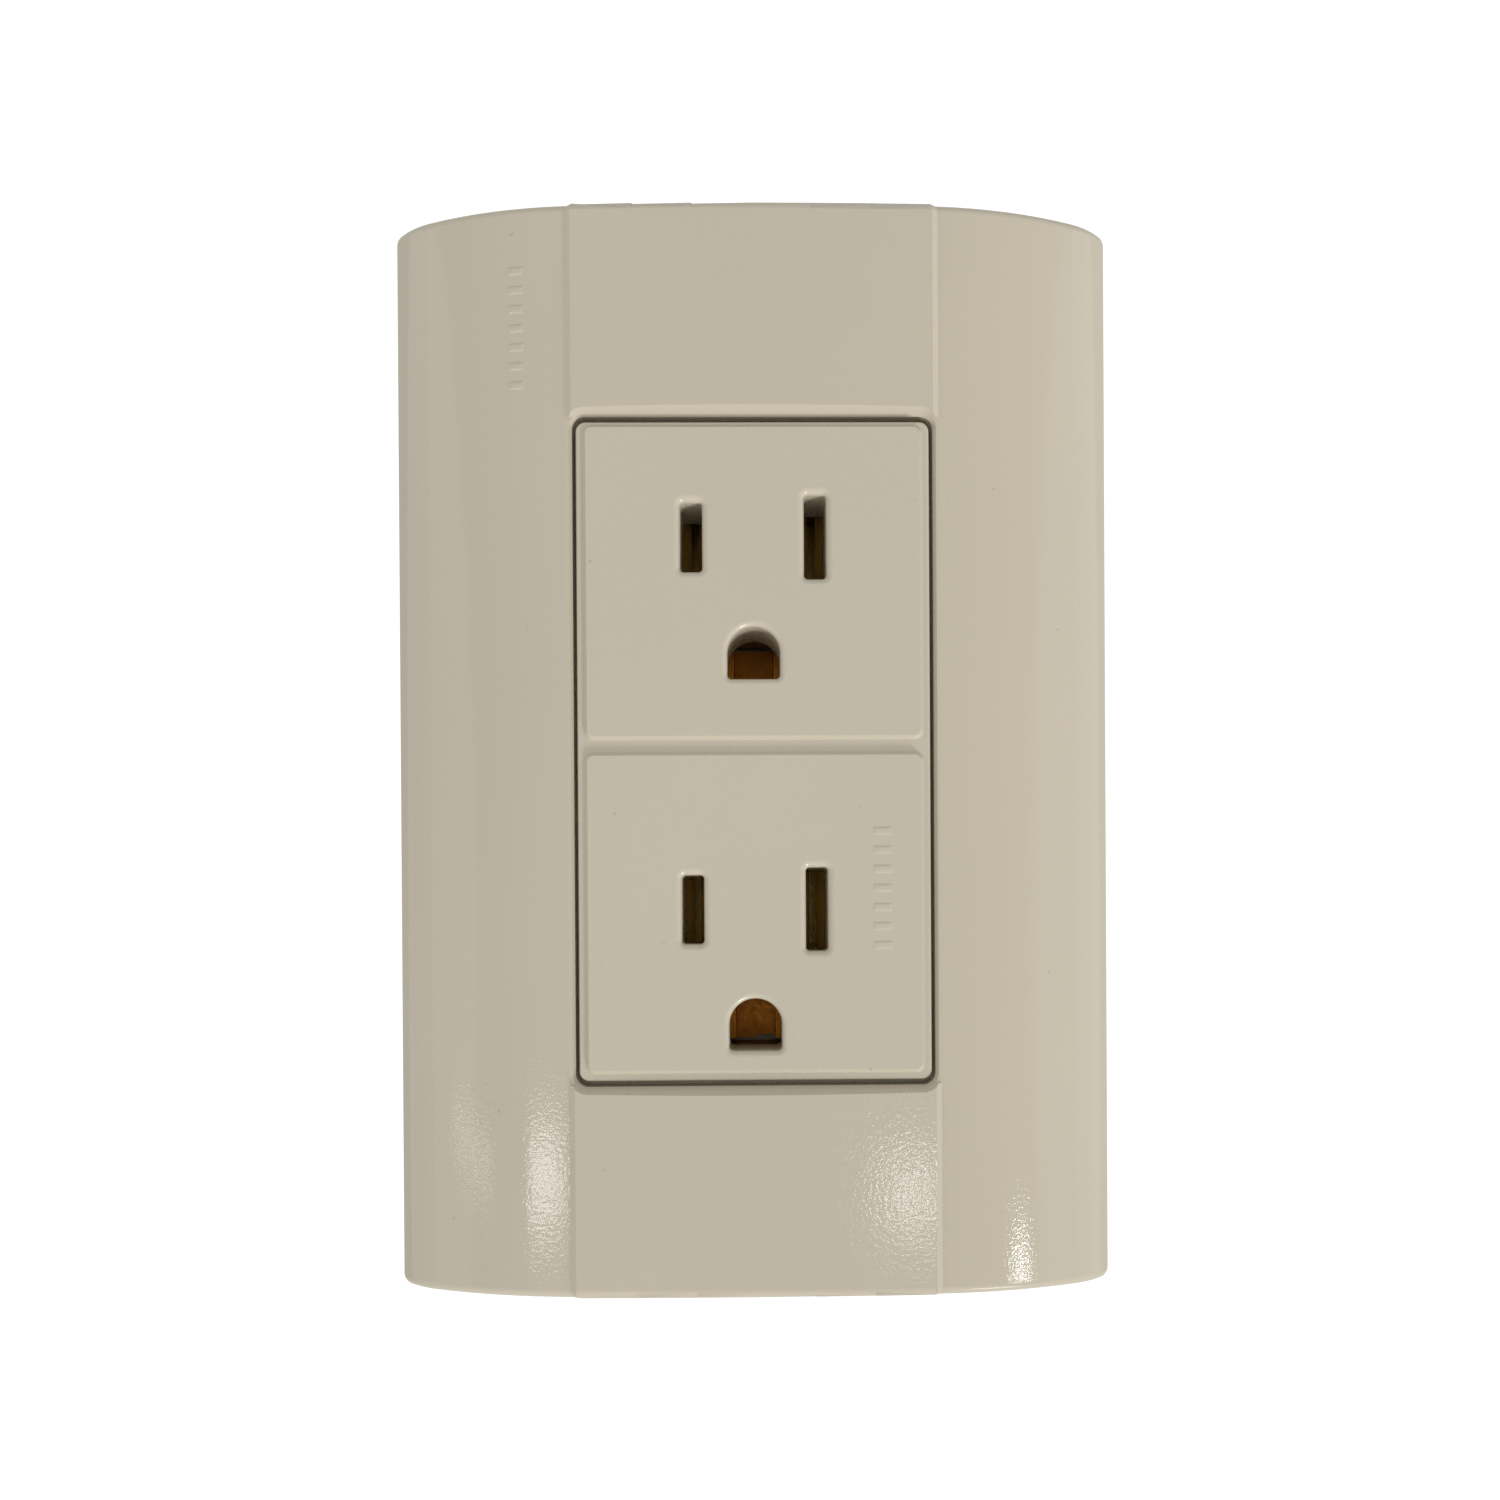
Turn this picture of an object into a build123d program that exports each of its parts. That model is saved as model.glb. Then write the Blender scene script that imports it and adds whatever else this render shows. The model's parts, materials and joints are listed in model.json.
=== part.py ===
"""Duplex wall outlet: a clip-on faceplate, a support frame and a two-socket receptacle.

Millimetres. +X right, +Z up and +Y into the wall, so the outlet faces -Y.
The origin is on the wall plane, midway between the two box screws.
"""

import os

from build123d import *

# Faceplate: a shell with two curved wings and a raised central strip
PLATE_W = 75.8
PLATE_H = 112.1
PLATE_CORNER = 1.5
PLATE_EDGE = 0.9
PLATE_SHOULDER = 0.9
PLATE_EDGE_BACK = -3.1
PLATE_WALL = 1.9
CROWN_Y = -10.0
STRIP_HALF = 19.1
STRIP_BEVEL = 0.6
STRIP_EDGE_Y = -9.72
STRIP_ROOT_HALF = 18.0
STRIP_BACK = -8.2
STRIP_CEILING = -8.0
STRIP_CUT_BACK = 0.2
STRIP_CUT_SPARE = 0.5
WING_START_Y = -9.2
WING_MIDDLE = (26.0, -8.15)
SHOULDER = (33.8, -5.4)
SIDE_Y = -1.9
WINDOW_W = 37.0
WINDOW_H = 68.7
WINDOW_CORNER = 1.3
FLARE_Y = -8.75
FLARE_FRONT = -10.1
FLARE = 0.95
SKIRT_WALL = 1.2
SKIRT_BACK = -6.4
LEG_AT = (14.0, 47.0)
LEG_W = 6.0
LEG_T = 1.6
LEG_BACK = -0.3
LEG_GAP = 0.2
LEG_ROOT = 0.3
LEG_GROOVES = (-1.1, -2.1, -3.1)
GROOVE_W = 0.4
GROOVE_DEPTH = 0.3

# Receptacle cover
COVER_W = 36.2
COVER_H = 67.5
COVER_CORNER = 1.0
COVER_EDGE = 0.25
RIM_Y = -9.1
PAD_Y = -9.6
FLANGE_BACK = -6.1
PAD_CREST_W = 34.1
PAD_BEVEL = 0.4
PAD_CORNER = 0.6
PAD_SPANS = ((1.55, 33.05), (-32.65, -0.45))
BODY_W = 34.6
BODY_H = 66.0
BODY_CORNER = 1.0
BODY_WALL = 1.6
CEILING_Y = -7.0
PARTING_Y = -1.0

# Plug openings
SOCKET_PITCH = 38.1
BLADE_X = 6.35
BLADE_Z = (21.9, 21.9 - SOCKET_PITCH)
SLOT_W = 2.25
LINE_SLOT_H = 7.05
NEUTRAL_SLOT_H = 8.55
SLOT_CORNER = 0.4
LEAD_IN = 0.7
GROUND_DROP = 11.85
GROUND_R = 2.7
GROUND_FLAT = 2.65
GROUND_CORNER = 0.45
GROUND_LEAD_IN = 0.6
GUIDE_WALL = 1.1
GUIDE_BACK = -1.2

# Receptacle base
BASE_BACK = 17.0
BASE_EDGE = 0.8
CHANNEL_X = (3.95, 9.3)
CHANNEL_Z = (-21.2, 28.5)
CHANNEL_BACK = 10.6
TERMINAL_X = 12.1
TERMINAL_POCKET_H = 9.0
NOTCH_Y = (0.6, 9.4)
NOTCH_H = 9.8
GROUND_CHANNEL_HALF = 3.0
GROUND_CHANNEL_Z = (-31.2, 14.1)
GROUND_CHANNEL_BACK = 11.1
WIRE_X = 13.4
WIRE_OFFSET = 2.9
WIRE_R = 1.2
HOLLOWS = ((0, 21.5, 14.0, 9.0), (0, 1.0, 14.0, 9.0), (5.75, -22.25, 8.5, 6.5))
HOLLOW_CORNER = 1.0
HOLLOW_DEPTH = 2.3
LUG_W = 8.0
LUG_OUT = 0.9
LUG_ROOT = 1.0
LUG_Y = (-0.8, 0)

# Contacts
SHEET = 0.7
CONTACT_SPAN = (-4.6, 6.2)
CONTACT_FRONT = -0.8
BUS_BACK = 10.4
LEAF_OFFSET = 1.75
LEAF_PATH = ((1.95, CONTACT_FRONT), (0.75, 2.2), (0.8, 3.4), (LEAF_OFFSET, 6.4), (LEAF_OFFSET, BUS_BACK))
TAB_X = (11.0, 12.0)
TAB_FRONT = 0.9
TAB_H = 8.6
TERMINAL_Y = 5.0
TERMINAL_Z = (9.5, -3.5)
GROUND_TERMINAL_Z = -26.5
GROUND_LEAF = (2.2, 2.9)
GROUND_CLIP_SPAN = (-2.4, 3.7)
GROUND_LEAF_FRONT = 4.2
GROUND_BACK = 10.9
STRAP_W = 3.7

# Screws, washers and clamps
SCREW_R = 1.75
RUNNING = 0.08
HEAD_R = 3.4
HEAD_T = 2.0
HEAD_CROWN = 0.8
DRIVE_W = 0.9
DRIVE_DEPTH = 1.0
CROSS_H = 4.2
CLAMP_T = 1.0
CLAMP_SIDE = 7.8
CLAMP_CORNER = 0.8
WIRE_GAP = 2.2
TERMINAL_SHANK = 5.4
BOX_SPACING = 83.3
BOX_SCREW_END = 16.5
NECK_R = 1.45
NECK_END = 0.4
WASHER_R = 4.2
WASHER_T = 0.7
HOUSING_SCREWS = ((-12.5, 29.0), (12.5, 29.0), (12.5, -29.0))
HOUSING_R = 1.3
HOUSING_HEAD_R = 2.6
HOUSING_HEAD_T = 1.8
HOUSING_TIP = -6.0
HOUSING_FIT = 0.05
HOUSING_SPARE = 0.5
HOUSING_CLEAR = 0.3
HOUSING_SINK = 0.2
HOUSING_DRIVE_W = 0.7
HOUSING_DRIVE_L = 3.8
BOSS_R = 3.0

# Support frame
FRAME_W = 58.0
FRAME_H = 105.0
FRAME_T = 1.8
FRAME_CORNER = 4.0
FRAME_RIM = 1.4
FRAME_RIM_FRONT = -3.2
OPENING_W = 35.0
OPENING_H = 66.4
OPENING_CORNER = 1.2
COLLAR_WALL = 1.9
COLLAR_CORNER = 2.4
RIB_Z = (-20.0, 0, 20.0)
RIB_REACH = 24.5
RIB_W = 1.4
RIB_FRONT = -4.0
SOCKET_FRONT = -4.6
SOCKET_WALL = 1.5
LUG_RECESS = (9.4, 0.9, 34.3)
BOX_SLOT_R = 2.1
BOX_SLOT_SLIDE = 3.0

GROUND_Z = tuple(z - GROUND_DROP for z in BLADE_Z)
SIDES = {"line": -1, "neutral": 1}
LEVELS = {"upper": TERMINAL_Z[0], "lower": TERMINAL_Z[1]}
CORNERS = ((-1, -1), (-1, 1), (1, -1), (1, 1))


def facing(y):
    """The plane at depth y that faces the room. Its x and y are X and Z, and it extrudes to -Y."""
    return Plane.XZ.offset(-y)


def block(xs, ys, zs, mode=Mode.ADD):
    """A box between two limits on each axis, in whichever part is being built."""
    size = (abs(xs[1] - xs[0]), abs(ys[1] - ys[0]), abs(zs[1] - zs[0]))
    with Locations(((xs[0] + xs[1]) / 2, (ys[0] + ys[1]) / 2, (zs[0] + zs[1]) / 2)):
        Box(*size, mode=mode)


def wing_section(inset=0):
    """Horizontal section of the plate without its strip, every wall moved inwards by inset."""
    with BuildSketch() as section:
        with BuildLine():
            start = (STRIP_HALF, WING_START_Y)
            side = (PLATE_W / 2, SIDE_Y)
            wing = ThreePointArc(start, WING_MIDDLE, SHOULDER)
            TangentArc(SHOULDER, side, tangent=wing % 1)
            Polyline(side, (side[0], 0), (0, 0))
            Line((0, WING_START_Y), start)
            mirror(about=Plane.YZ)
        make_face()
        if inset:
            offset(amount=-inset, kind=Kind.INTERSECTION)
            with Locations((0, -inset / 2)):
                Rectangle(PLATE_W - 2 * inset, inset)
    return section.sketch


def end_edges(part, back):
    """The edges of a plate blank's two ends that lie in front of back."""
    ends = part.edges().filter_by(lambda e: abs(abs(e.center().Z) - PLATE_H / 2) < 0.01)
    return ends.filter_by(lambda e: e.center().Y < back)


def ground_outline(grow):
    """The ground opening: a half circle over a flat-bottomed rectangle, grown all round."""
    radius = GROUND_R + grow
    flat = -GROUND_FLAT - grow
    with BuildSketch() as outline:
        with BuildLine():
            ThreePointArc((-radius, 0), (0, radius), (radius, 0))
            Polyline((radius, 0), (radius, flat), (-radius, flat), (-radius, 0))
        make_face()
        fillet(outline.vertices().group_by(Axis.Y)[0], GROUND_CORNER + grow / 2)
    return outline.sketch


def pan_screw(seat, parts):
    """A screw. seat is the plane under its head, z outwards; parts are (radius, length) below it."""
    with BuildPart() as screw:
        with BuildSketch(seat):
            Circle(HEAD_R)
        extrude(amount=HEAD_T)
        crown = screw.faces().sort_by(Axis(seat.origin, seat.z_dir))[-1]
        fillet(crown.edges(), HEAD_CROWN)
        with BuildSketch(seat.offset(HEAD_T)):
            Rectangle(3 * HEAD_R, DRIVE_W)
            Rectangle(DRIVE_W, CROSS_H)
        extrude(amount=-DRIVE_DEPTH, mode=Mode.SUBTRACT)
        depth = 0
        for radius, length in parts:
            with BuildSketch(seat.offset(-depth)):
                Circle(radius)
            extrude(amount=-length)
            depth += length
    return screw.part


def washer_plate(seat, thickness, hole, outline):
    """A flat plate on seat with a round hole. outline is a radius, or the side of a square."""
    with BuildPart() as plate:
        with BuildSketch(seat):
            if outline == CLAMP_SIDE:
                RectangleRounded(outline, outline, CLAMP_CORNER)
            else:
                Circle(outline)
            Circle(hole, mode=Mode.SUBTRACT)
        extrude(amount=thickness)
    return plate.part


def save(part, name):
    """Label one piece and write its STEP file."""
    part.label = name
    export_step(part, f"parts/{name}.step")


os.makedirs("parts", exist_ok=True)

# ---------------------------------------------------------------- faceplate

with BuildPart() as strip:
    with BuildSketch(Plane.XY.offset(-PLATE_H / 2)):
        with BuildLine():
            crown_end = (STRIP_HALF - STRIP_BEVEL, STRIP_EDGE_Y)
            ThreePointArc((0, CROWN_Y), (crown_end[0] / 2, (3 * CROWN_Y + crown_end[1]) / 4), crown_end)
            Polyline(crown_end, (STRIP_HALF, WING_START_Y), (STRIP_ROOT_HALF, STRIP_BACK), (0, STRIP_BACK))
            mirror(about=Plane.YZ)
        make_face()
    extrude(amount=PLATE_H)
    fillet(end_edges(strip, WING_START_Y), PLATE_EDGE)

with BuildPart() as faceplate:
    with BuildSketch(Plane.XY.offset(-PLATE_H / 2)):
        add(wing_section())
    extrude(amount=PLATE_H)
    shoulders = faceplate.edges().filter_by(Axis.Z).filter_by(lambda e: abs(e.center().Y - SIDE_Y) < 0.01)
    fillet(shoulders, PLATE_SHOULDER)
    fillet(end_edges(faceplate, PLATE_EDGE_BACK), PLATE_EDGE)
    with BuildSketch(facing(0)):
        RectangleRounded(PLATE_W, PLATE_H, PLATE_CORNER)
    extrude(amount=-CROWN_Y, mode=Mode.INTERSECT)
    # the strip, which stops level with the ends of the window, because the window takes its full width
    add(strip.part)
    with BuildSketch(facing(WING_START_Y)):
        Rectangle(2 * (STRIP_HALF + STRIP_CUT_SPARE), WINDOW_H - 2 * STRIP_CUT_BACK)
    extrude(amount=WING_START_Y - FLARE_FRONT, mode=Mode.SUBTRACT)
    # hollow back
    with BuildSketch(Plane.XY.offset(PLATE_WALL - PLATE_H / 2)):
        add(wing_section(PLATE_WALL))
    extrude(amount=PLATE_H - 2 * PLATE_WALL, mode=Mode.SUBTRACT)
    # skirt round the window
    with BuildSketch(facing(SKIRT_BACK)):
        RectangleRounded(WINDOW_W + 2 * SKIRT_WALL, WINDOW_H + 2 * SKIRT_WALL, WINDOW_CORNER + SKIRT_WALL)
    extrude(amount=SKIRT_BACK - STRIP_CEILING)
    with BuildSketch(facing(SKIRT_BACK)):
        RectangleRounded(WINDOW_W, WINDOW_H, WINDOW_CORNER)
    extrude(amount=SKIRT_BACK - CROWN_Y, mode=Mode.SUBTRACT)
    # the window's front edge flares outwards
    for y, grow in ((FLARE_Y, 0), (FLARE_FRONT, FLARE)):
        with BuildSketch(facing(y)):
            RectangleRounded(WINDOW_W + 2 * grow, WINDOW_H + 2 * grow, WINDOW_CORNER + grow)
    loft(mode=Mode.SUBTRACT)
    # clip legs with grip grooves on their outer faces
    for sx, sz in CORNERS:
        x = sx * LEG_AT[0]
        z = sz * LEG_AT[1]
        outer = z + sz * LEG_T / 2
        width = (x - LEG_W / 2, x + LEG_W / 2)
        block(width, (STRIP_CEILING - LEG_ROOT, LEG_BACK), (z - LEG_T / 2, z + LEG_T / 2))
        for y in LEG_GROOVES:
            across = (y - GROOVE_W / 2, y + GROOVE_W / 2)
            block(width, across, (outer - sz * GROOVE_DEPTH, outer), Mode.SUBTRACT)
save(faceplate.part, "faceplate")

# ---------------------------------------------------------------- support frame

with BuildPart() as support_frame:
    with BuildSketch(facing(0)):
        RectangleRounded(FRAME_W, FRAME_H, FRAME_CORNER)
    extrude(amount=FRAME_T)
    with BuildSketch(facing(-FRAME_T)):
        RectangleRounded(FRAME_W, FRAME_H, FRAME_CORNER)
        offset(amount=-FRAME_RIM, mode=Mode.SUBTRACT)
    extrude(amount=-FRAME_T - FRAME_RIM_FRONT)
    with BuildSketch(facing(-FRAME_T)):
        RectangleRounded(OPENING_W + 2 * COLLAR_WALL, OPENING_H + 2 * COLLAR_WALL, COLLAR_CORNER)
    extrude(amount=-FRAME_T - FLANGE_BACK)
    for z in RIB_Z:
        block((-RIB_REACH, RIB_REACH), (-FRAME_T, RIB_FRONT), (z - RIB_W / 2, z + RIB_W / 2))
    for sx, sz in CORNERS:
        x = sx * LEG_AT[0]
        z = sz * LEG_AT[1]
        slot_x = LEG_W / 2 + LEG_GAP
        slot_z = LEG_T / 2 + LEG_GAP
        wall_x = slot_x + SOCKET_WALL
        wall_z = slot_z + SOCKET_WALL
        block((x - wall_x, x + wall_x), (-FRAME_T, SOCKET_FRONT), (z - wall_z, z + wall_z))
        block((x - slot_x, x + slot_x), (0, SOCKET_FRONT), (z - slot_z, z + slot_z), Mode.SUBTRACT)
    with BuildSketch(facing(0)):
        RectangleRounded(OPENING_W, OPENING_H, OPENING_CORNER)
        with Locations((0, BOX_SPACING / 2), (0, -BOX_SPACING / 2)):
            SlotCenterToCenter(BOX_SLOT_SLIDE, 2 * BOX_SLOT_R)
    extrude(amount=-FLANGE_BACK, mode=Mode.SUBTRACT)
    width, depth, reach = LUG_RECESS
    for sz in (-1, 1):
        block((-width / 2, width / 2), (0, -depth), (0, sz * reach), Mode.SUBTRACT)
save(support_frame.part, "support_frame")

# ---------------------------------------------------------------- receptacle cover

with BuildPart() as receptacle_cover:
    with BuildSketch(facing(FLANGE_BACK)):
        RectangleRounded(COVER_W, COVER_H, COVER_CORNER)
    extrude(amount=FLANGE_BACK - RIM_Y)
    fillet(receptacle_cover.faces().sort_by(Axis.Y)[0].edges(), COVER_EDGE)
    with BuildSketch(facing(PARTING_Y)):
        RectangleRounded(BODY_W, BODY_H, BODY_CORNER)
    extrude(amount=PARTING_Y - FLANGE_BACK)
    with BuildSketch(facing(PARTING_Y)):
        RectangleRounded(BODY_W - 2 * BODY_WALL, BODY_H - 2 * BODY_WALL, BODY_CORNER)
    extrude(amount=PARTING_Y - CEILING_Y, mode=Mode.SUBTRACT)
    # raised pads with bevelled sides
    for low, high in PAD_SPANS:
        for y, grow in ((RIM_Y, PAD_BEVEL), (PAD_Y, 0)):
            with BuildSketch(facing(y)):
                with Locations((0, (low + high) / 2)):
                    RectangleRounded(PAD_CREST_W + 2 * grow, high - low + 2 * grow, PAD_CORNER + grow)
        loft()
    # guide walls behind every opening, and bosses for the housing screws
    with BuildSketch(facing(GUIDE_BACK)):
        for z in BLADE_Z:
            with Locations((-BLADE_X, z)):
                Rectangle(SLOT_W + 2 * GUIDE_WALL, LINE_SLOT_H + 2 * GUIDE_WALL)
            with Locations((BLADE_X, z)):
                Rectangle(SLOT_W + 2 * GUIDE_WALL, NEUTRAL_SLOT_H + 2 * GUIDE_WALL)
        for z in GROUND_Z:
            with Locations((0, z)):
                add(ground_outline(GUIDE_WALL))
    extrude(amount=GUIDE_BACK - CEILING_Y)
    with BuildSketch(facing(PARTING_Y)):
        with Locations(*HOUSING_SCREWS):
            Circle(BOSS_R)
    extrude(amount=PARTING_Y - CEILING_Y)
    with BuildSketch(facing(PARTING_Y)):
        with Locations(*HOUSING_SCREWS):
            Circle(HOUSING_R + HOUSING_FIT)
    extrude(amount=PARTING_Y - HOUSING_TIP + HOUSING_SPARE, mode=Mode.SUBTRACT)
    # plug openings, then the rounding that leads a plug in
    with BuildSketch(facing(GUIDE_BACK)):
        for z in BLADE_Z:
            with Locations((-BLADE_X, z)):
                RectangleRounded(SLOT_W, LINE_SLOT_H, SLOT_CORNER)
            with Locations((BLADE_X, z)):
                RectangleRounded(SLOT_W, NEUTRAL_SLOT_H, SLOT_CORNER)
        for z in GROUND_Z:
            with Locations((0, z)):
                add(ground_outline(0))
    extrude(amount=GUIDE_BACK - PAD_Y, mode=Mode.SUBTRACT)
    front = receptacle_cover.edges().filter_by(lambda e: abs(e.center().Y - PAD_Y) < 0.01)
    fillet(front.filter_by(lambda e: 4.5 < abs(e.center().X) < 9.0 and e.length < 9.0), LEAD_IN)
    front = receptacle_cover.edges().filter_by(lambda e: abs(e.center().Y - PAD_Y) < 0.01)
    fillet(front.filter_by(lambda e: abs(e.center().X) < 3.0 and e.length < 9.0), GROUND_LEAD_IN)
save(receptacle_cover.part, "receptacle_cover")

# ---------------------------------------------------------------- receptacle base

with BuildPart() as receptacle_base:
    with BuildSketch(facing(BASE_BACK)):
        RectangleRounded(BODY_W, BODY_H, BODY_CORNER)
    extrude(amount=BASE_BACK - PARTING_Y)
    rear = receptacle_base.faces().sort_by(Axis.Y)[-1]
    fillet(rear.edges(), BASE_EDGE)
    # lugs that hold the receptacle behind the frame
    for sz in (-1, 1):
        block((-LUG_W / 2, LUG_W / 2), LUG_Y, (sz * (BODY_H / 2 - LUG_ROOT), sz * (BODY_H / 2 + LUG_OUT)))
    # a channel for each bus, and a pocket and side notch at each terminal
    deep = (PARTING_Y, CHANNEL_BACK)
    for side in (-1, 1):
        block((side * CHANNEL_X[0], side * CHANNEL_X[1]), deep, CHANNEL_Z, Mode.SUBTRACT)
        for z in TERMINAL_Z:
            pocket = (z - TERMINAL_POCKET_H / 2, z + TERMINAL_POCKET_H / 2)
            block((side * CHANNEL_X[0], side * TERMINAL_X), deep, pocket, Mode.SUBTRACT)
            notch = (z - NOTCH_H / 2, z + NOTCH_H / 2)
            block((side * TERMINAL_X, side * BODY_W / 2), NOTCH_Y, notch, Mode.SUBTRACT)
    deep = (PARTING_Y, GROUND_CHANNEL_BACK)
    block((-GROUND_CHANNEL_HALF, GROUND_CHANNEL_HALF), deep, GROUND_CHANNEL_Z, Mode.SUBTRACT)
    pocket = (GROUND_TERMINAL_Z - TERMINAL_POCKET_H / 2, GROUND_TERMINAL_Z + TERMINAL_POCKET_H / 2)
    block((-TERMINAL_X, 0), deep, pocket, Mode.SUBTRACT)
    notch = (GROUND_TERMINAL_Z - NOTCH_H / 2, GROUND_TERMINAL_Z + NOTCH_H / 2)
    block((-BODY_W / 2, -TERMINAL_X), NOTCH_Y, notch, Mode.SUBTRACT)
    # wire holes into each notch, and countersunk clearance holes for the housing screws
    notches = [(side * WIRE_X, z) for side in (-1, 1) for z in TERMINAL_Z] + [(-WIRE_X, GROUND_TERMINAL_Z)]
    wire_spots = [(x, z + way * WIRE_OFFSET) for x, z in notches for way in (-1, 1)]
    with BuildSketch(facing(BASE_BACK)):
        with Locations(*wire_spots):
            Circle(WIRE_R)
    extrude(amount=BASE_BACK - NOTCH_Y[1], mode=Mode.SUBTRACT)
    with BuildSketch(facing(BASE_BACK)):
        with Locations(*HOUSING_SCREWS):
            Circle(HOUSING_R + HOUSING_CLEAR)
    extrude(amount=BASE_BACK - PARTING_Y, mode=Mode.SUBTRACT)
    with BuildSketch(facing(BASE_BACK)):
        with Locations(*HOUSING_SCREWS):
            Circle(HOUSING_HEAD_R + HOUSING_CLEAR)
        # hollows that keep the moulding's walls even
        for x, z, width, height in HOLLOWS:
            with Locations((x, z)):
                RectangleRounded(width, height, HOLLOW_CORNER)
    extrude(amount=HOLLOW_DEPTH, mode=Mode.SUBTRACT)
save(receptacle_base.part, "receptacle_base")

# ---------------------------------------------------------------- contacts

for side_name, side in SIDES.items():
    with BuildPart() as bus:
        for z in BLADE_Z:
            with BuildSketch(Plane.XY.offset(z + CONTACT_SPAN[0])):
                for way in (-1, 1):
                    with BuildLine() as leaf:
                        Polyline(*[(side * BLADE_X + way * x, y) for x, y in LEAF_PATH])
                    trace(leaf.line, line_width=SHEET)
            extrude(amount=CONTACT_SPAN[1] - CONTACT_SPAN[0])
        reach = LEAF_OFFSET + SHEET / 2
        ends = (BLADE_Z[1] + CONTACT_SPAN[0], BLADE_Z[0] + CONTACT_SPAN[1])
        block((side * (BLADE_X - reach), side * (BLADE_X + reach)), (BUS_BACK - SHEET, BUS_BACK), ends)
        for z in TERMINAL_Z:
            span = (z - TAB_H / 2, z + TAB_H / 2)
            block((side * BLADE_X, side * TAB_X[1]), (BUS_BACK - SHEET, BUS_BACK), span)
            block((side * TAB_X[0], side * TAB_X[1]), (TAB_FRONT, BUS_BACK), span)
            with BuildSketch(Plane((side * TAB_X[1], TERMINAL_Y, z), x_dir=(0, 1, 0), z_dir=(side, 0, 0))):
                Circle(SCREW_R + RUNNING)
            extrude(amount=TAB_X[0] - TAB_X[1], mode=Mode.SUBTRACT)
    save(bus.part, f"{side_name}_bus")

with BuildPart() as ground_strap:
    back = (GROUND_BACK - SHEET, GROUND_BACK)
    block((-STRAP_W / 2, STRAP_W / 2), back, (GROUND_Z[1], GROUND_Z[0]))
    for z in GROUND_Z:
        clip = (z + GROUND_CLIP_SPAN[0], z + GROUND_CLIP_SPAN[1])
        block((-GROUND_LEAF[1], GROUND_LEAF[1]), back, clip)
        for way in (-1, 1):
            leaf = (way * GROUND_LEAF[0], way * GROUND_LEAF[1])
            block(leaf, (GROUND_LEAF_FRONT, GROUND_BACK), clip)
    span = (GROUND_TERMINAL_Z - TAB_H / 2, GROUND_TERMINAL_Z + TAB_H / 2)
    block((-TAB_X[1], 0), back, span)
    block((-TAB_X[1], -TAB_X[0]), (TAB_FRONT, GROUND_BACK), span)
    with BuildSketch(Plane((-TAB_X[1], TERMINAL_Y, GROUND_TERMINAL_Z), x_dir=(0, 1, 0), z_dir=(-1, 0, 0))):
        Circle(SCREW_R + RUNNING)
    extrude(amount=TAB_X[0] - TAB_X[1], mode=Mode.SUBTRACT)
save(ground_strap.part, "ground_strap")

# ---------------------------------------------------------------- screws and clamps

terminals = [("ground_{}", -1, GROUND_TERMINAL_Z)]
for name, side in SIDES.items():
    for level, z in LEVELS.items():
        terminals.append((name + "_{}_" + level, side, z))
for name, side, z in terminals:
    clamp_inner = side * (TAB_X[1] + WIRE_GAP)
    clamp_seat = Plane((clamp_inner, TERMINAL_Y, z), x_dir=(0, 1, 0), z_dir=(side, 0, 0))
    save(washer_plate(clamp_seat, CLAMP_T, SCREW_R + RUNNING, CLAMP_SIDE), name.format("clamp"))
    save(pan_screw(clamp_seat.offset(CLAMP_T), [(SCREW_R, TERMINAL_SHANK)]), name.format("screw"))

for level, z in (("upper", BOX_SPACING / 2), ("lower", -BOX_SPACING / 2)):
    seat = Plane((0, -FRAME_T, z), x_dir=(1, 0, 0), z_dir=(0, -1, 0))
    save(washer_plate(seat, WASHER_T, NECK_R + RUNNING, WASHER_R), f"box_washer_{level}")
    neck = (NECK_R, NECK_END + FRAME_T + WASHER_T)
    thread = (SCREW_R, BOX_SCREW_END - NECK_END)
    save(pan_screw(seat.offset(WASHER_T), [neck, thread]), f"box_screw_{level}")

with BuildPart() as housing_screws:
    seat_y = BASE_BACK - HOUSING_HEAD_T - HOUSING_SINK
    with BuildSketch(facing(seat_y)):
        with Locations(*HOUSING_SCREWS):
            Circle(HOUSING_HEAD_R)
    extrude(amount=-HOUSING_HEAD_T)
    with BuildSketch(facing(seat_y)):
        with Locations(*HOUSING_SCREWS):
            Circle(HOUSING_R)
    extrude(amount=seat_y - HOUSING_TIP)
    with BuildSketch(facing(seat_y + HOUSING_HEAD_T)):
        with Locations(*HOUSING_SCREWS):
            Rectangle(HOUSING_DRIVE_L, HOUSING_DRIVE_W)
            Rectangle(HOUSING_DRIVE_W, HOUSING_DRIVE_L)
    extrude(amount=DRIVE_DEPTH, mode=Mode.SUBTRACT)
save(housing_screws.part, "housing_screws")
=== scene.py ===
"""Duplex wall outlet: materials, threaded screws, small relief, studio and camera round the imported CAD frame.

Metres, in the frame's axes: +X right, +Z up and +Y into the wall, so the outlet faces -Y.
"""

import json
import math

import bmesh
import bpy
from mathutils import Matrix, Vector

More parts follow.
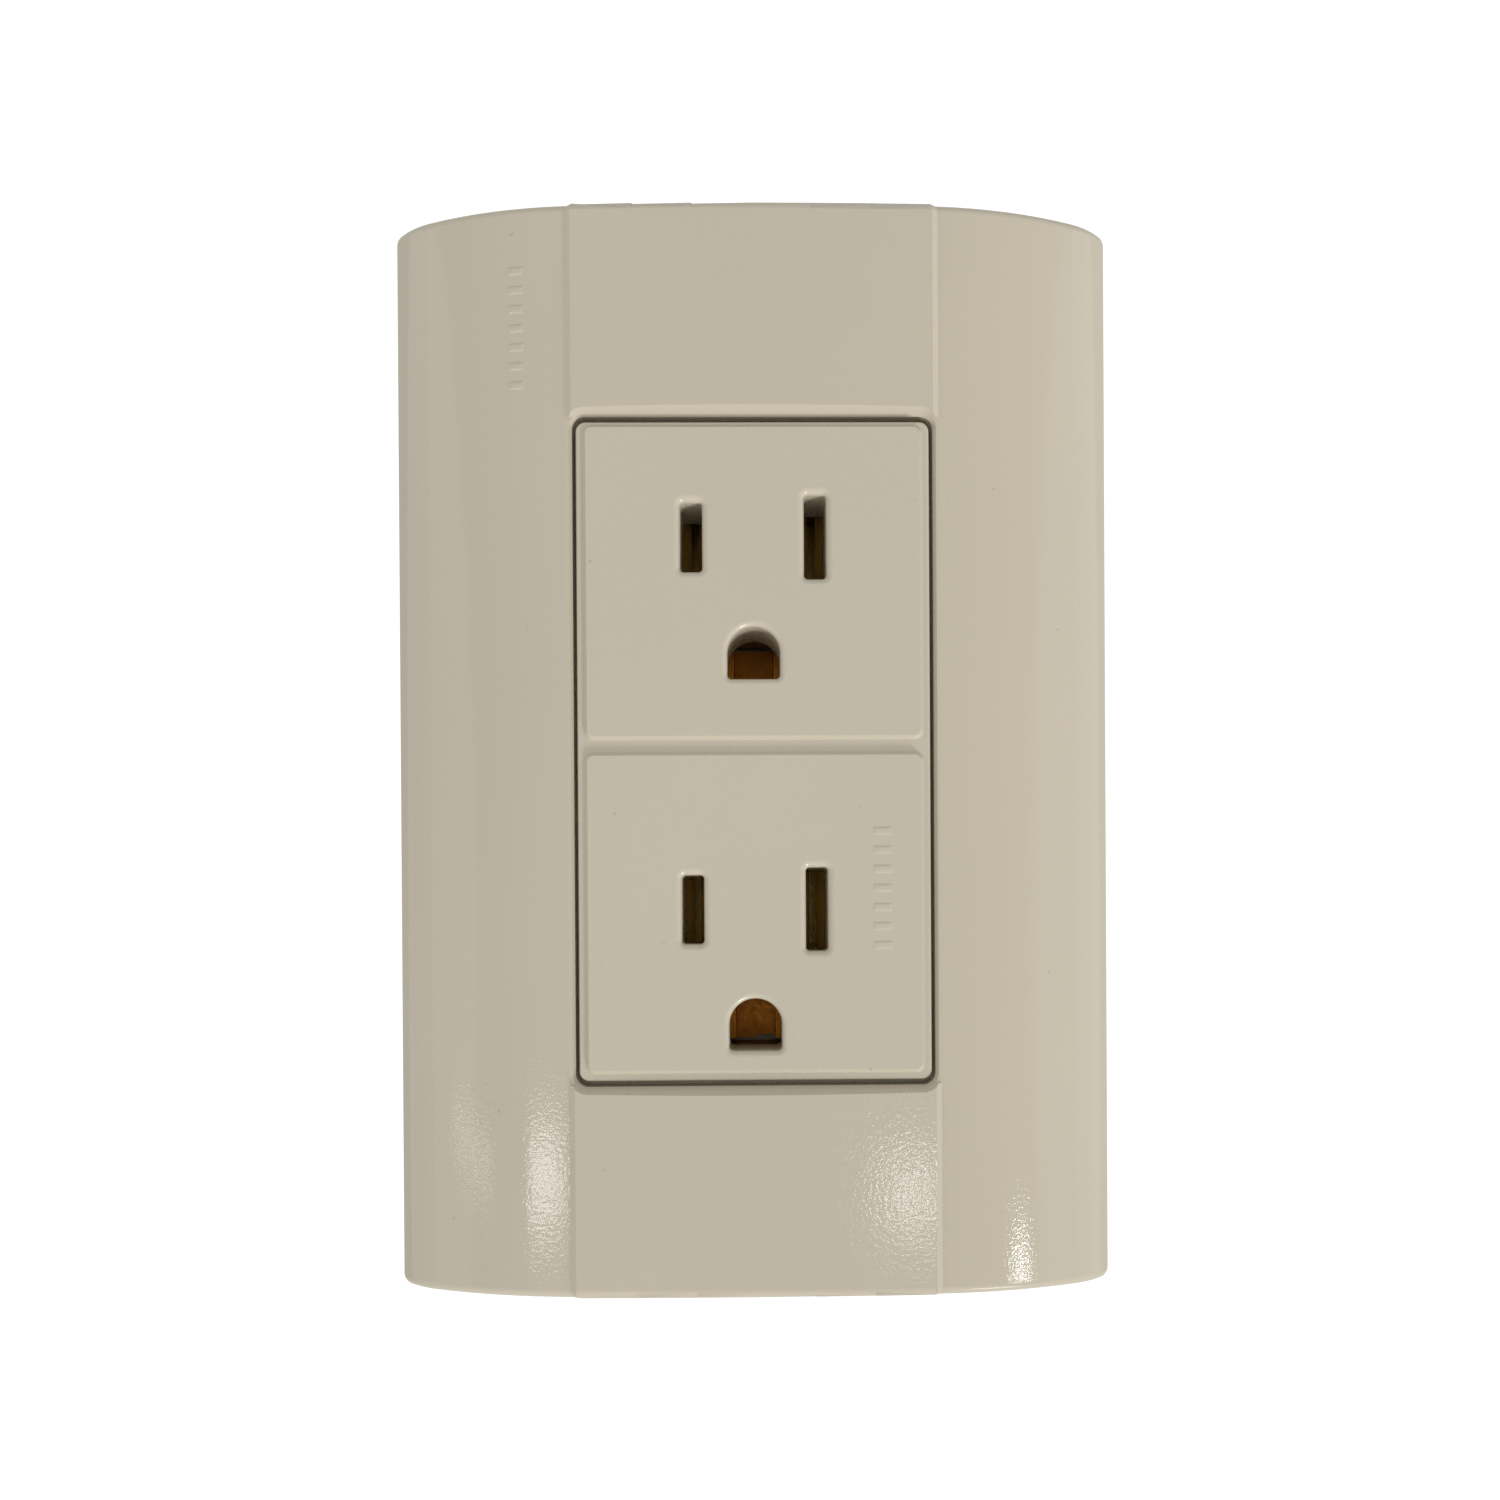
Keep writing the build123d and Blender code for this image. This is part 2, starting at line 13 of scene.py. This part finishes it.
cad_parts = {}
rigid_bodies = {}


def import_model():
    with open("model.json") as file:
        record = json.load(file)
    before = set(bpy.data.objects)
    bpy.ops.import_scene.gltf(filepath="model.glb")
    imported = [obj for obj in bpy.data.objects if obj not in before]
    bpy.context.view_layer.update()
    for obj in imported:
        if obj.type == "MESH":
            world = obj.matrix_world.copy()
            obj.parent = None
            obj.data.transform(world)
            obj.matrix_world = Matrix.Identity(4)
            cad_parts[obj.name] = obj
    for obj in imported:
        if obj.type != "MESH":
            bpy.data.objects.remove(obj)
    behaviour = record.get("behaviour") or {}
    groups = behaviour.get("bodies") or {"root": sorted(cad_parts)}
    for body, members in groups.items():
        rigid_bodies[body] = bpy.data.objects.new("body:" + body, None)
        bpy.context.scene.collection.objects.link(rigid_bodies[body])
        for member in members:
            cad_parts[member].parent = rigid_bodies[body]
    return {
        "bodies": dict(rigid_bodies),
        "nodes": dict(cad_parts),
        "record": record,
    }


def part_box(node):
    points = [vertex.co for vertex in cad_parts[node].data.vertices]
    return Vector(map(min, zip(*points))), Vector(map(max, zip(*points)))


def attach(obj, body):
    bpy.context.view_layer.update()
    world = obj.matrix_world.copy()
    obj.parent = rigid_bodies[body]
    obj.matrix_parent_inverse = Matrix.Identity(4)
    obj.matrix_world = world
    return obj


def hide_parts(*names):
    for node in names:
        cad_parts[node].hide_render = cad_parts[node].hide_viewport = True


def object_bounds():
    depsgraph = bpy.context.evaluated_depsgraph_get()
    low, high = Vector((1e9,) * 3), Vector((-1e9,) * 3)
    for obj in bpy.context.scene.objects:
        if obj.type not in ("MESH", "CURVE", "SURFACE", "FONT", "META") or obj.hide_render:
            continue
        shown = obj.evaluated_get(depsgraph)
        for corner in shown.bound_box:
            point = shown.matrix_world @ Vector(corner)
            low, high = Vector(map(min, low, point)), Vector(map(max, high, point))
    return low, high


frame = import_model()
CAD_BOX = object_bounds()
MM = 0.001


# ---------------------------------------------------------------- shader helpers


class Shader:
    """A material with a Principled shader, built a node at a time."""

    def __init__(self, name):
        self.material = bpy.data.materials.new(name)
        self.material.use_nodes = True
        self.tree = self.material.node_tree
        self.shader = self.tree.nodes["Principled BSDF"]

    def node(self, kind, **values):
        """A new node, with values set on its properties or on its sockets."""
        made = self.tree.nodes.new(kind)
        for key, value in values.items():
            if hasattr(made, key):
                setattr(made, key, value)
            else:
                made.inputs[key.replace("_", " ")].default_value = value
        return made

    def link(self, source, target):
        self.tree.links.new(source, target)

    def noise(self, scale, detail=2.0):
        """Noise in object coordinates, which are the frame's metres."""
        made = self.node("ShaderNodeTexNoise", Scale=scale, Detail=detail)
        self.link(self.node("ShaderNodeTexCoord").outputs["Object"], made.inputs["Vector"])
        return made.outputs["Fac"]

    def spread(self, source, low, high, start=0.3, end=0.7):
        """Maps start..end of a value to low..high."""
        made = self.node("ShaderNodeMapRange", From_Min=start, From_Max=end, To_Min=low, To_Max=high)
        self.link(source, made.inputs["Value"])
        return made.outputs["Result"]

    def mix(self, factor, first, second):
        """Mixes two colours, each a colour or an output."""
        made = self.node("ShaderNodeMix", data_type="RGBA")
        self.link(factor, made.inputs[0])
        for socket, colour in ((made.inputs[6], first), (made.inputs[7], second)):
            if isinstance(colour, tuple):
                socket.default_value = colour
            else:
                self.link(colour, socket)
        return made.outputs[2]

    def bump(self, height, distance, under=None):
        made = self.node("ShaderNodeBump", Distance=distance)
        self.link(height, made.inputs["Height"])
        if under is not None:
            self.link(under, made.inputs["Normal"])
        return made.outputs["Normal"]


def srgb(red, green, blue):
    """A colour given as 0-255 display values, in linear light."""
    return tuple(((v / 255 + 0.055) / 1.055) ** 2.4 for v in (red, green, blue)) + (1.0,)


def scaled(colour, by):
    return tuple(min(1.0, c * by) for c in colour[:3]) + (1.0,)


# sizes of the textures: features per metre
DRIFT_SCALE = 26.0
SPECK_SCALE = 800.0
SHEEN_SCALE = 420.0
PEEL_SCALE = 620.0
GRAIN_SCALE = 2600.0
STAIN_SCALE = 240.0
MARKS_SCALE = 1900.0


def moulded_plastic(name, colour, roughness, wave, grain, specks=0.55):
    """Injection-moulded plastic: slow colour drift, sparse specks, orange peel and a fine grain.

    wave and grain are the heights of the two surface textures, in metres.
    """
    m = Shader(name)
    drift = m.spread(m.noise(DRIFT_SCALE, detail=3.0), 0.0, 1.0)
    tone = m.mix(drift, scaled(colour, 0.985), scaled(colour, 1.015))
    if specks:
        spots = m.spread(m.noise(SPECK_SCALE, detail=1.0), 0.0, specks, start=0.79, end=0.84)
        tone = m.mix(spots, tone, scaled(colour, 0.45))
    m.link(tone, m.shader.inputs["Base Color"])
    sheen = m.spread(m.noise(SHEEN_SCALE, detail=3.0), roughness * 0.88, roughness * 1.14)
    m.link(sheen, m.shader.inputs["Roughness"])
    m.shader.inputs["IOR"].default_value = 1.5
    peel = m.bump(m.noise(PEEL_SCALE, detail=1.0), wave)
    fine = m.bump(m.noise(GRAIN_SCALE, detail=2.0), grain, under=peel)
    m.link(fine, m.shader.inputs["Normal"])
    return m.material


def metal(name, colour, roughness, marks_height=2.5e-6, metallic=1.0):
    """Bare or plated metal with fine rolling or turning marks. metallic under 1 is a tarnished skin."""
    m = Shader(name)
    m.shader.inputs["Metallic"].default_value = metallic
    stain = m.spread(m.noise(STAIN_SCALE, detail=4.0), 0.0, 1.0)
    m.link(m.mix(stain, scaled(colour, 0.86), scaled(colour, 1.06)), m.shader.inputs["Base Color"])
    marks = m.noise(MARKS_SCALE, detail=3.0)
    m.link(m.spread(marks, roughness * 0.8, roughness * 1.25), m.shader.inputs["Roughness"])
    m.link(m.bump(marks, marks_height), m.shader.inputs["Normal"])
    return m.material


# ---------------------------------------------------------------- materials

PLATE_IVORY = srgb(193, 184, 165)
COVER_IVORY = srgb(194, 186, 167)
MATERIALS = {
    "faceplate": moulded_plastic("plate_gloss_ivory", PLATE_IVORY, 0.075, 3.5e-6, 1.2e-5),
    "receptacle_cover": moulded_plastic("cover_satin_ivory", COVER_IVORY, 0.27, 4e-6, 1.4e-6),
    "receptacle_base": moulded_plastic("base_matt_ivory", srgb(184, 174, 152), 0.5, 9e-6, 6e-6, specks=0),
    "support_frame": moulded_plastic("frame_matt_ivory", srgb(203, 193, 168), 0.48, 9e-6, 6e-6, specks=0),
    "brass": metal("brass_strip", srgb(226, 142, 34), 0.42, marks_height=1e-6, metallic=0.5),
    "brass_screw": metal("brass_screw_turned", srgb(206, 164, 88), 0.28),
    "steel": metal("zinc_plated_steel", srgb(188, 188, 184), 0.3),
    "ground_screw": metal("green_lacquered_screw", srgb(46, 112, 58), 0.34),
}
# painted light: a paler, lighter copy of the brass for the line and neutral buses, standing in for light
# reaching the contacts deep in the slots
CONTACT_BRASS_PAINTED_LIGHT = metal("brass_contact_painted_light", srgb(232, 196, 104), 0.45, marks_height=1e-6, metallic=0.5)
slot_of = {row["node"]: row["material_slot"] for row in frame["record"]["subparts"]}
for name, obj in frame["nodes"].items():
    obj.data.materials.clear()
    obj.data.materials.append(CONTACT_BRASS_PAINTED_LIGHT if name.endswith("_bus") else MATERIALS[slot_of[name]])


# ---------------------------------------------------------------- threaded screws

THREAD_PITCH = 0.794 * MM
THREAD_DEPTH = 0.36 * MM
THREAD_CREST = 1.75 * MM
THREAD_PROFILE = (0.0, 0.5, 1.0, 1.0, 0.5, 0.0)
ROUND_STEPS = 28
HEAD_T = 2.0 * MM
HEAD_CROWN = 0.8 * MM
DRIVE_DEPTH = 1.0 * MM
SLOT_SIZE = (12.0 * MM, 0.9 * MM)
CROSS_SIZE = (0.9 * MM, 4.2 * MM)
NECK_R = 1.45 * MM
BOX_NECK = 2.9 * MM
BITE = 0.2 * MM
RUN_OUT = 1.6
WELD = 1e-6
SHARP_ANGLE = 38.0


def smooth(value):
    value = max(0.0, min(1.0, value))
    return value * value * (3 - 2 * value)


def mesh_of(name, build, *values):
    """A mesh that build makes in a bmesh, with its normals outwards."""
    bm = bmesh.new()
    build(bm, *values)
    bmesh.ops.recalc_face_normals(bm, faces=bm.faces)
    mesh = bpy.data.meshes.new(name)
    bm.to_mesh(mesh)
    bm.free()
    return mesh


def ring_point(radius, step, z):
    turn = 2 * math.pi * step / ROUND_STEPS
    return (radius * math.cos(turn), radius * math.sin(turn), z)


def turned(bm, outline):
    """A closed solid of revolution about Z. outline is a list of (radius, z), from end to end."""
    rings = [[bm.verts.new(ring_point(radius, j, z)) for j in range(ROUND_STEPS)] for radius, z in outline]
    for first, second in zip(rings, rings[1:]):
        for j in range(ROUND_STEPS):
            k = (j + 1) % ROUND_STEPS
            bm.faces.new((first[j], first[k], second[k], second[j]))
    bm.faces.new(rings[0])
    bm.faces.new(rings[-1])


def thread(bm, start, end):
    """A closed helical thread from z = start down to z = end, running out smoothly at both ends."""
    root = THREAD_CREST - THREAD_DEPTH
    steps = len(THREAD_PROFILE)
    rows = (math.ceil((start - end) / THREAD_PITCH) + 2) * steps
    rings = []
    for row in range(rows + 1):
        ring = []
        for j in range(ROUND_STEPS):
            z = start + THREAD_PITCH * (1 - row / steps - j / ROUND_STEPS)
            fade = smooth((start - z) / THREAD_PITCH) * smooth((z - end) / (RUN_OUT * THREAD_PITCH))
            radius = root + THREAD_DEPTH * THREAD_PROFILE[row % steps] * fade
            ring.append(bm.verts.new(ring_point(radius, j, max(end, min(start, z)))))
        rings.append(ring)
    for row in range(rows - steps):
        for j in range(ROUND_STEPS):
            # past the last step the helix goes on one whole turn lower
            k = (j + 1) % ROUND_STEPS
            below = row if k else row + steps
            bm.faces.new((rings[row][j], rings[below][k], rings[below + 1][k], rings[row + 1][j]))
    bmesh.ops.remove_doubles(bm, verts=bm.verts, dist=WELD)
    bmesh.ops.delete(bm, geom=[v for v in bm.verts if not v.link_faces], context="VERTS")
    bmesh.ops.holes_fill(bm, edges=[e for e in bm.edges if e.is_boundary], sides=0)


def screw_head(radius):
    """A crowned head with its underside at z = 0, cut by a slot and a short cross."""
    corner = [math.radians(angle) for angle in range(0, 91, 15)]
    side = HEAD_T - HEAD_CROWN
    crown = [(radius - HEAD_CROWN * (1 - math.cos(a)), side + HEAD_CROWN * math.sin(a)) for a in corner]
    head = bpy.data.objects.new("head_blank", mesh_of("head_blank", turned, [(radius, 0.0)] + crown))
    bpy.context.scene.collection.objects.link(head)
    cutters = []
    for width, height in (SLOT_SIZE, CROSS_SIZE):
        bpy.ops.mesh.primitive_cube_add(size=1.0, location=(0, 0, HEAD_T))
        cutter = bpy.context.object
        cutter.scale = (width, height, 2 * DRIVE_DEPTH)
        head.modifiers.new("drive", "BOOLEAN").object = cutter
        cutters.append(cutter)
    bpy.context.view_layer.update()
    mesh = bpy.data.meshes.new_from_object(head.evaluated_get(bpy.context.evaluated_depsgraph_get()))
    for obj in [head] + cutters:
        bpy.data.objects.remove(obj, do_unlink=True)
    return mesh


def add_piece(name, meshes, body, slot, place=None):
    """One object from several meshes, moved to its place, which rides on a body."""
    bm = bmesh.new()
    for mesh in meshes:
        bm.from_mesh(mesh)
    if place is not None:
        bm.transform(place)
    mesh = bpy.data.meshes.new(name)
    bm.to_mesh(mesh)
    bm.free()
    mesh.shade_smooth()
    mesh.set_sharp_from_angle(angle=math.radians(SHARP_ANGLE))
    piece = bpy.data.objects.new(name, mesh)
    bpy.context.scene.collection.objects.link(piece)
    mesh.materials.clear()
    mesh.materials.append(MATERIALS[slot])
    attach(piece, body)
    return piece


def threaded_screw(node, outwards, neck):
    """Stands for a plain CAD screw. outwards is its head's way; neck is the plain length under the head."""
    low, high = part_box(node)
    outwards = Vector(outwards)
    across = Vector((0, 1, 0)) if outwards.x else Vector((1, 0, 0))
    middle = (low + high) / 2
    length = abs((high - low).dot(outwards))
    head_radius = (high.z - low.z) / 2
    seat = middle + outwards * (length / 2 - HEAD_T)
    under = length - HEAD_T
    parts = [screw_head(head_radius), mesh_of("shank", thread, BITE - neck, -under)]
    if neck:
        parts.append(mesh_of("neck", turned, [(NECK_R, BITE), (NECK_R, -neck - BITE)]))
    turn = Matrix((across, outwards.cross(across), outwards)).transposed().to_4x4()
    piece = add_piece(node + "_threaded", parts, node, slot_of[node], Matrix.Translation(seat) @ turn)
    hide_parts(node)


for body in frame["bodies"]:
    if "_screw" in body:
        if body.startswith("box"):
            threaded_screw(body, (0, -1, 0), BOX_NECK)
        else:
            outer = -1 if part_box(body)[0].x < 0 else 1
            threaded_screw(body, (outer, 0, 0), 0.0)


# ---------------------------------------------------------------- small relief

# plain bars, where moulded plates and sockets carry a mark: (node, slot, centre x, centre z, bar width)
RELIEF = (
    ("faceplate", "faceplate", -24.2 * MM, 43.5 * MM, 1.75 * MM),
    ("receptacle_cover", "receptacle_cover", 13.1 * MM, -14.1 * MM, 2.2 * MM),
)
RELIEF_BARS = 7
RELIEF_PITCH = 1.95 * MM
RELIEF_BAR_H = 1.0 * MM
RELIEF_RISE = 0.07 * MM
RELIEF_ROOT = 0.05 * MM
RELIEF_CELLS = (12, 8)


def raised_bar(bm, node, x, z, width, height):
    """A low closed bar that follows the node's front surface, with edges that sink into it."""
    across, up = RELIEF_CELLS
    fronts = []
    backs = []
    for i in range(across + 1):
        for j in range(up + 1):
            u = 2 * i / across - 1
            v = 2 * j / up - 1
            spot_x = x + u * width / 2
            spot_z = z + v * height / 2
            start = (spot_x, CAD_BOX[0].y - MM, spot_z)
            place = frame["nodes"][node].ray_cast(start, (0, 1, 0))[1]
            rim = max(abs(u) ** 6, abs(v) ** 4)
            rise = RELIEF_RISE * (1 - rim) - RELIEF_ROOT * rim
            fronts.append(bm.verts.new((spot_x, place.y - rise, spot_z)))
            backs.append(bm.verts.new((spot_x, place.y + 2 * RELIEF_ROOT, spot_z)))
    for side in (fronts, backs):
        for i in range(across):
            for j in range(up):
                at = i * (up + 1) + j
                bm.faces.new((side[at], side[at + 1], side[at + up + 2], side[at + up + 1]))
    border = [i * (up + 1) for i in range(across)] + [across * (up + 1) + j for j in range(up)]
    border += [i * (up + 1) + up for i in range(across, 0, -1)] + list(range(up, 0, -1))
    for at, following in zip(border, border[1:] + border[:1]):
        bm.faces.new((fronts[at], fronts[following], backs[following], backs[at]))


nodes_of_body = frame["record"]["behaviour"]["bodies"]
body_of_node = {node: body for body, nodes in nodes_of_body.items() for node in nodes}
for node, slot, x, z, width in RELIEF:
    bars = []
    for k in range(RELIEF_BARS):
        at = z + (k - (RELIEF_BARS - 1) / 2) * RELIEF_PITCH
        bars.append(mesh_of("bar", raised_bar, node, x, at, width, RELIEF_BAR_H))
    add_piece(node + "_relief", bars, body_of_node[node], slot)


# ---------------------------------------------------------------- camera

PAD_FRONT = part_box("receptacle_cover")[0].y
CAMERA_DISTANCE = 150 * MM
CAMERA_TURN = (89.7, 0.33, -0.83)
camera_data = bpy.data.cameras.new("camera")
camera = bpy.data.objects.new("camera", camera_data)
bpy.context.scene.collection.objects.link(camera)
camera.location = (0.15 * MM, PAD_FRONT - CAMERA_DISTANCE, -17.6 * MM)
camera.rotation_euler = [math.radians(angle) for angle in CAMERA_TURN]
camera_data.sensor_width = 36.0
camera_data.lens = 35.19
camera_data.shift_x = -0.0186
camera_data.shift_y = 0.1203
camera_data.clip_start = 0.01
camera_data.clip_end = 10.0
bpy.context.scene.camera = camera
bpy.context.scene.view_settings.view_transform = "Standard"


# ---------------------------------------------------------------- studio


def face_to(obj, direction, roll=0.0):
    """Turns a lamp so that it shines along direction, rolled by some degrees about it."""
    turn = Vector(direction).to_track_quat("-Z", "Y").to_matrix()
    obj.rotation_euler = (turn @ Matrix.Rotation(math.radians(roll), 3, "Z")).to_euler()


def lamp(name, kind, position, direction, energy, roll=0.0, **values):
    """A lamp that the camera doesn't see."""
    data = bpy.data.lights.new(name, kind)
    data.energy = energy
    for key, value in values.items():
        setattr(data, key, value)
    obj = bpy.data.objects.new(name, data)
    bpy.context.scene.collection.objects.link(obj)
    obj.location = position
    face_to(obj, direction, roll)
    obj.visible_camera = False
    return obj


def mirrored_spot(x, z):
    """Where a far lamp goes so that the camera sees it mirrored at (x, z) of the front, and its way there."""
    toward = (Vector((x, PAD_FRONT, z)) - camera.location).normalized()
    depsgraph = bpy.context.evaluated_depsgraph_get()
    place, normal = bpy.context.scene.ray_cast(depsgraph, camera.location, toward)[1:3]
    mirrored = toward.reflect(normal)
    return place + mirrored * GLINT_DISTANCE, mirrored


def glint(name, x, z, width, height, radiance, roll=0.0):
    """A far panel that the camera sees mirrored at (x, z)."""
    where, mirrored = mirrored_spot(x, z)
    power = radiance * width * height * math.pi
    return lamp(name, "AREA", where, -mirrored, power, roll, shape="RECTANGLE", size=width, size_y=height)


def triangle_glint(name, x, z, width, height, radiance):
    """A far glowing triangle, its tip up, that the camera sees mirrored at (x, z)."""
    where, mirrored = mirrored_spot(x, z)
    mesh = bpy.data.meshes.new(name)
    mesh.from_pydata([(-width / 2, 0, 0), (width / 2, 0, 0), (0, height, 0)], [], [(0, 1, 2)])
    glow = bpy.data.materials.new(name)
    glow.use_nodes = True
    shader = glow.node_tree.nodes["Principled BSDF"]
    shader.inputs["Emission Color"].default_value = (1.0, 1.0, 1.0, 1.0)
    shader.inputs["Emission Strength"].default_value = radiance
    mesh.materials.append(glow)
    obj = bpy.data.objects.new(name, mesh)
    bpy.context.scene.collection.objects.link(obj)
    obj.location = where
    face_to(obj, -mirrored)
    obj.visible_camera = False


AMBIENT = 0.6
BACKDROP = 1.1
SUN_FROM = (0.42, -0.355, -0.83)
SUN_STRENGTH = 1.77
SUN_SPREAD = 14.0
FILL_STRENGTH = 0.2
FILL_SPREAD = 20.0
SIDE_STRENGTH = 0.4
SIDE_SPREAD = 60.0
GLINT_DISTANCE = 2.0

world = bpy.data.worlds.new("studio")
bpy.context.scene.world = world
world.use_nodes = True
nodes = world.node_tree.nodes
links = world.node_tree.links
nodes["Background"].inputs["Color"].default_value = (1.0, 1.0, 1.0, 1.0)
nodes["Background"].inputs["Strength"].default_value = AMBIENT
seen = nodes.new("ShaderNodeBackground")
seen.inputs["Color"].default_value = (1.0, 1.0, 1.0, 1.0)
seen.inputs["Strength"].default_value = BACKDROP
either = nodes.new("ShaderNodeMixShader")
links.new(nodes.new("ShaderNodeLightPath").outputs["Is Camera Ray"], either.inputs["Fac"])
links.new(nodes["Background"].outputs[0], either.inputs[1])
links.new(seen.outputs[0], either.inputs[2])
links.new(either.outputs[0], nodes["World Output"].inputs["Surface"])

FLOOR_RADIUS = 340 * MM
FLOOR_DROP = 190 * MM
floor_z = CAD_BOX[0].z - FLOOR_DROP
floor_at = (0, 0, floor_z)
bpy.ops.mesh.primitive_circle_add(vertices=96, radius=FLOOR_RADIUS, fill_type="NGON", location=floor_at)
floor = bpy.context.object
floor.name = "floor"
floor.visible_shadow = False
m = Shader("floor_pale")
pale = m.mix(m.noise(6.0), (0.86, 0.86, 0.855, 1.0), (0.9, 0.9, 0.895, 1.0))
m.link(pale, m.shader.inputs["Base Color"])
m.shader.inputs["Roughness"].default_value = 0.7
floor.data.materials.append(m.material)

lamp("low_key", "SUN", (0, 0, 0), -Vector(SUN_FROM), SUN_STRENGTH, angle=math.radians(SUN_SPREAD))
fill = lamp("front_fill", "SUN", (0, 0, 0), (0, 1, 0), FILL_STRENGTH, angle=math.radians(FILL_SPREAD))
fill.visible_glossy = False
for side in (-1, 1):
    lamp("side", "SUN", (0, 0, 0), (-side, 0.25, 0), SIDE_STRENGTH, angle=math.radians(SIDE_SPREAD))
glint("strip_glint", 15.8 * MM, -45.2 * MM, 0.08, 0.08, 11.0)
glint("wing_glint", -21.2 * MM, -43.6 * MM, 0.34, 0.11, 7.5)
glint("wing_streak", -29.2 * MM, -40.8 * MM, 0.5, 0.04, 3.5, roll=-9.0)
triangle_glint("corner_glint", 26.6 * MM, -54.5 * MM, 0.36, 0.036, 34.0)
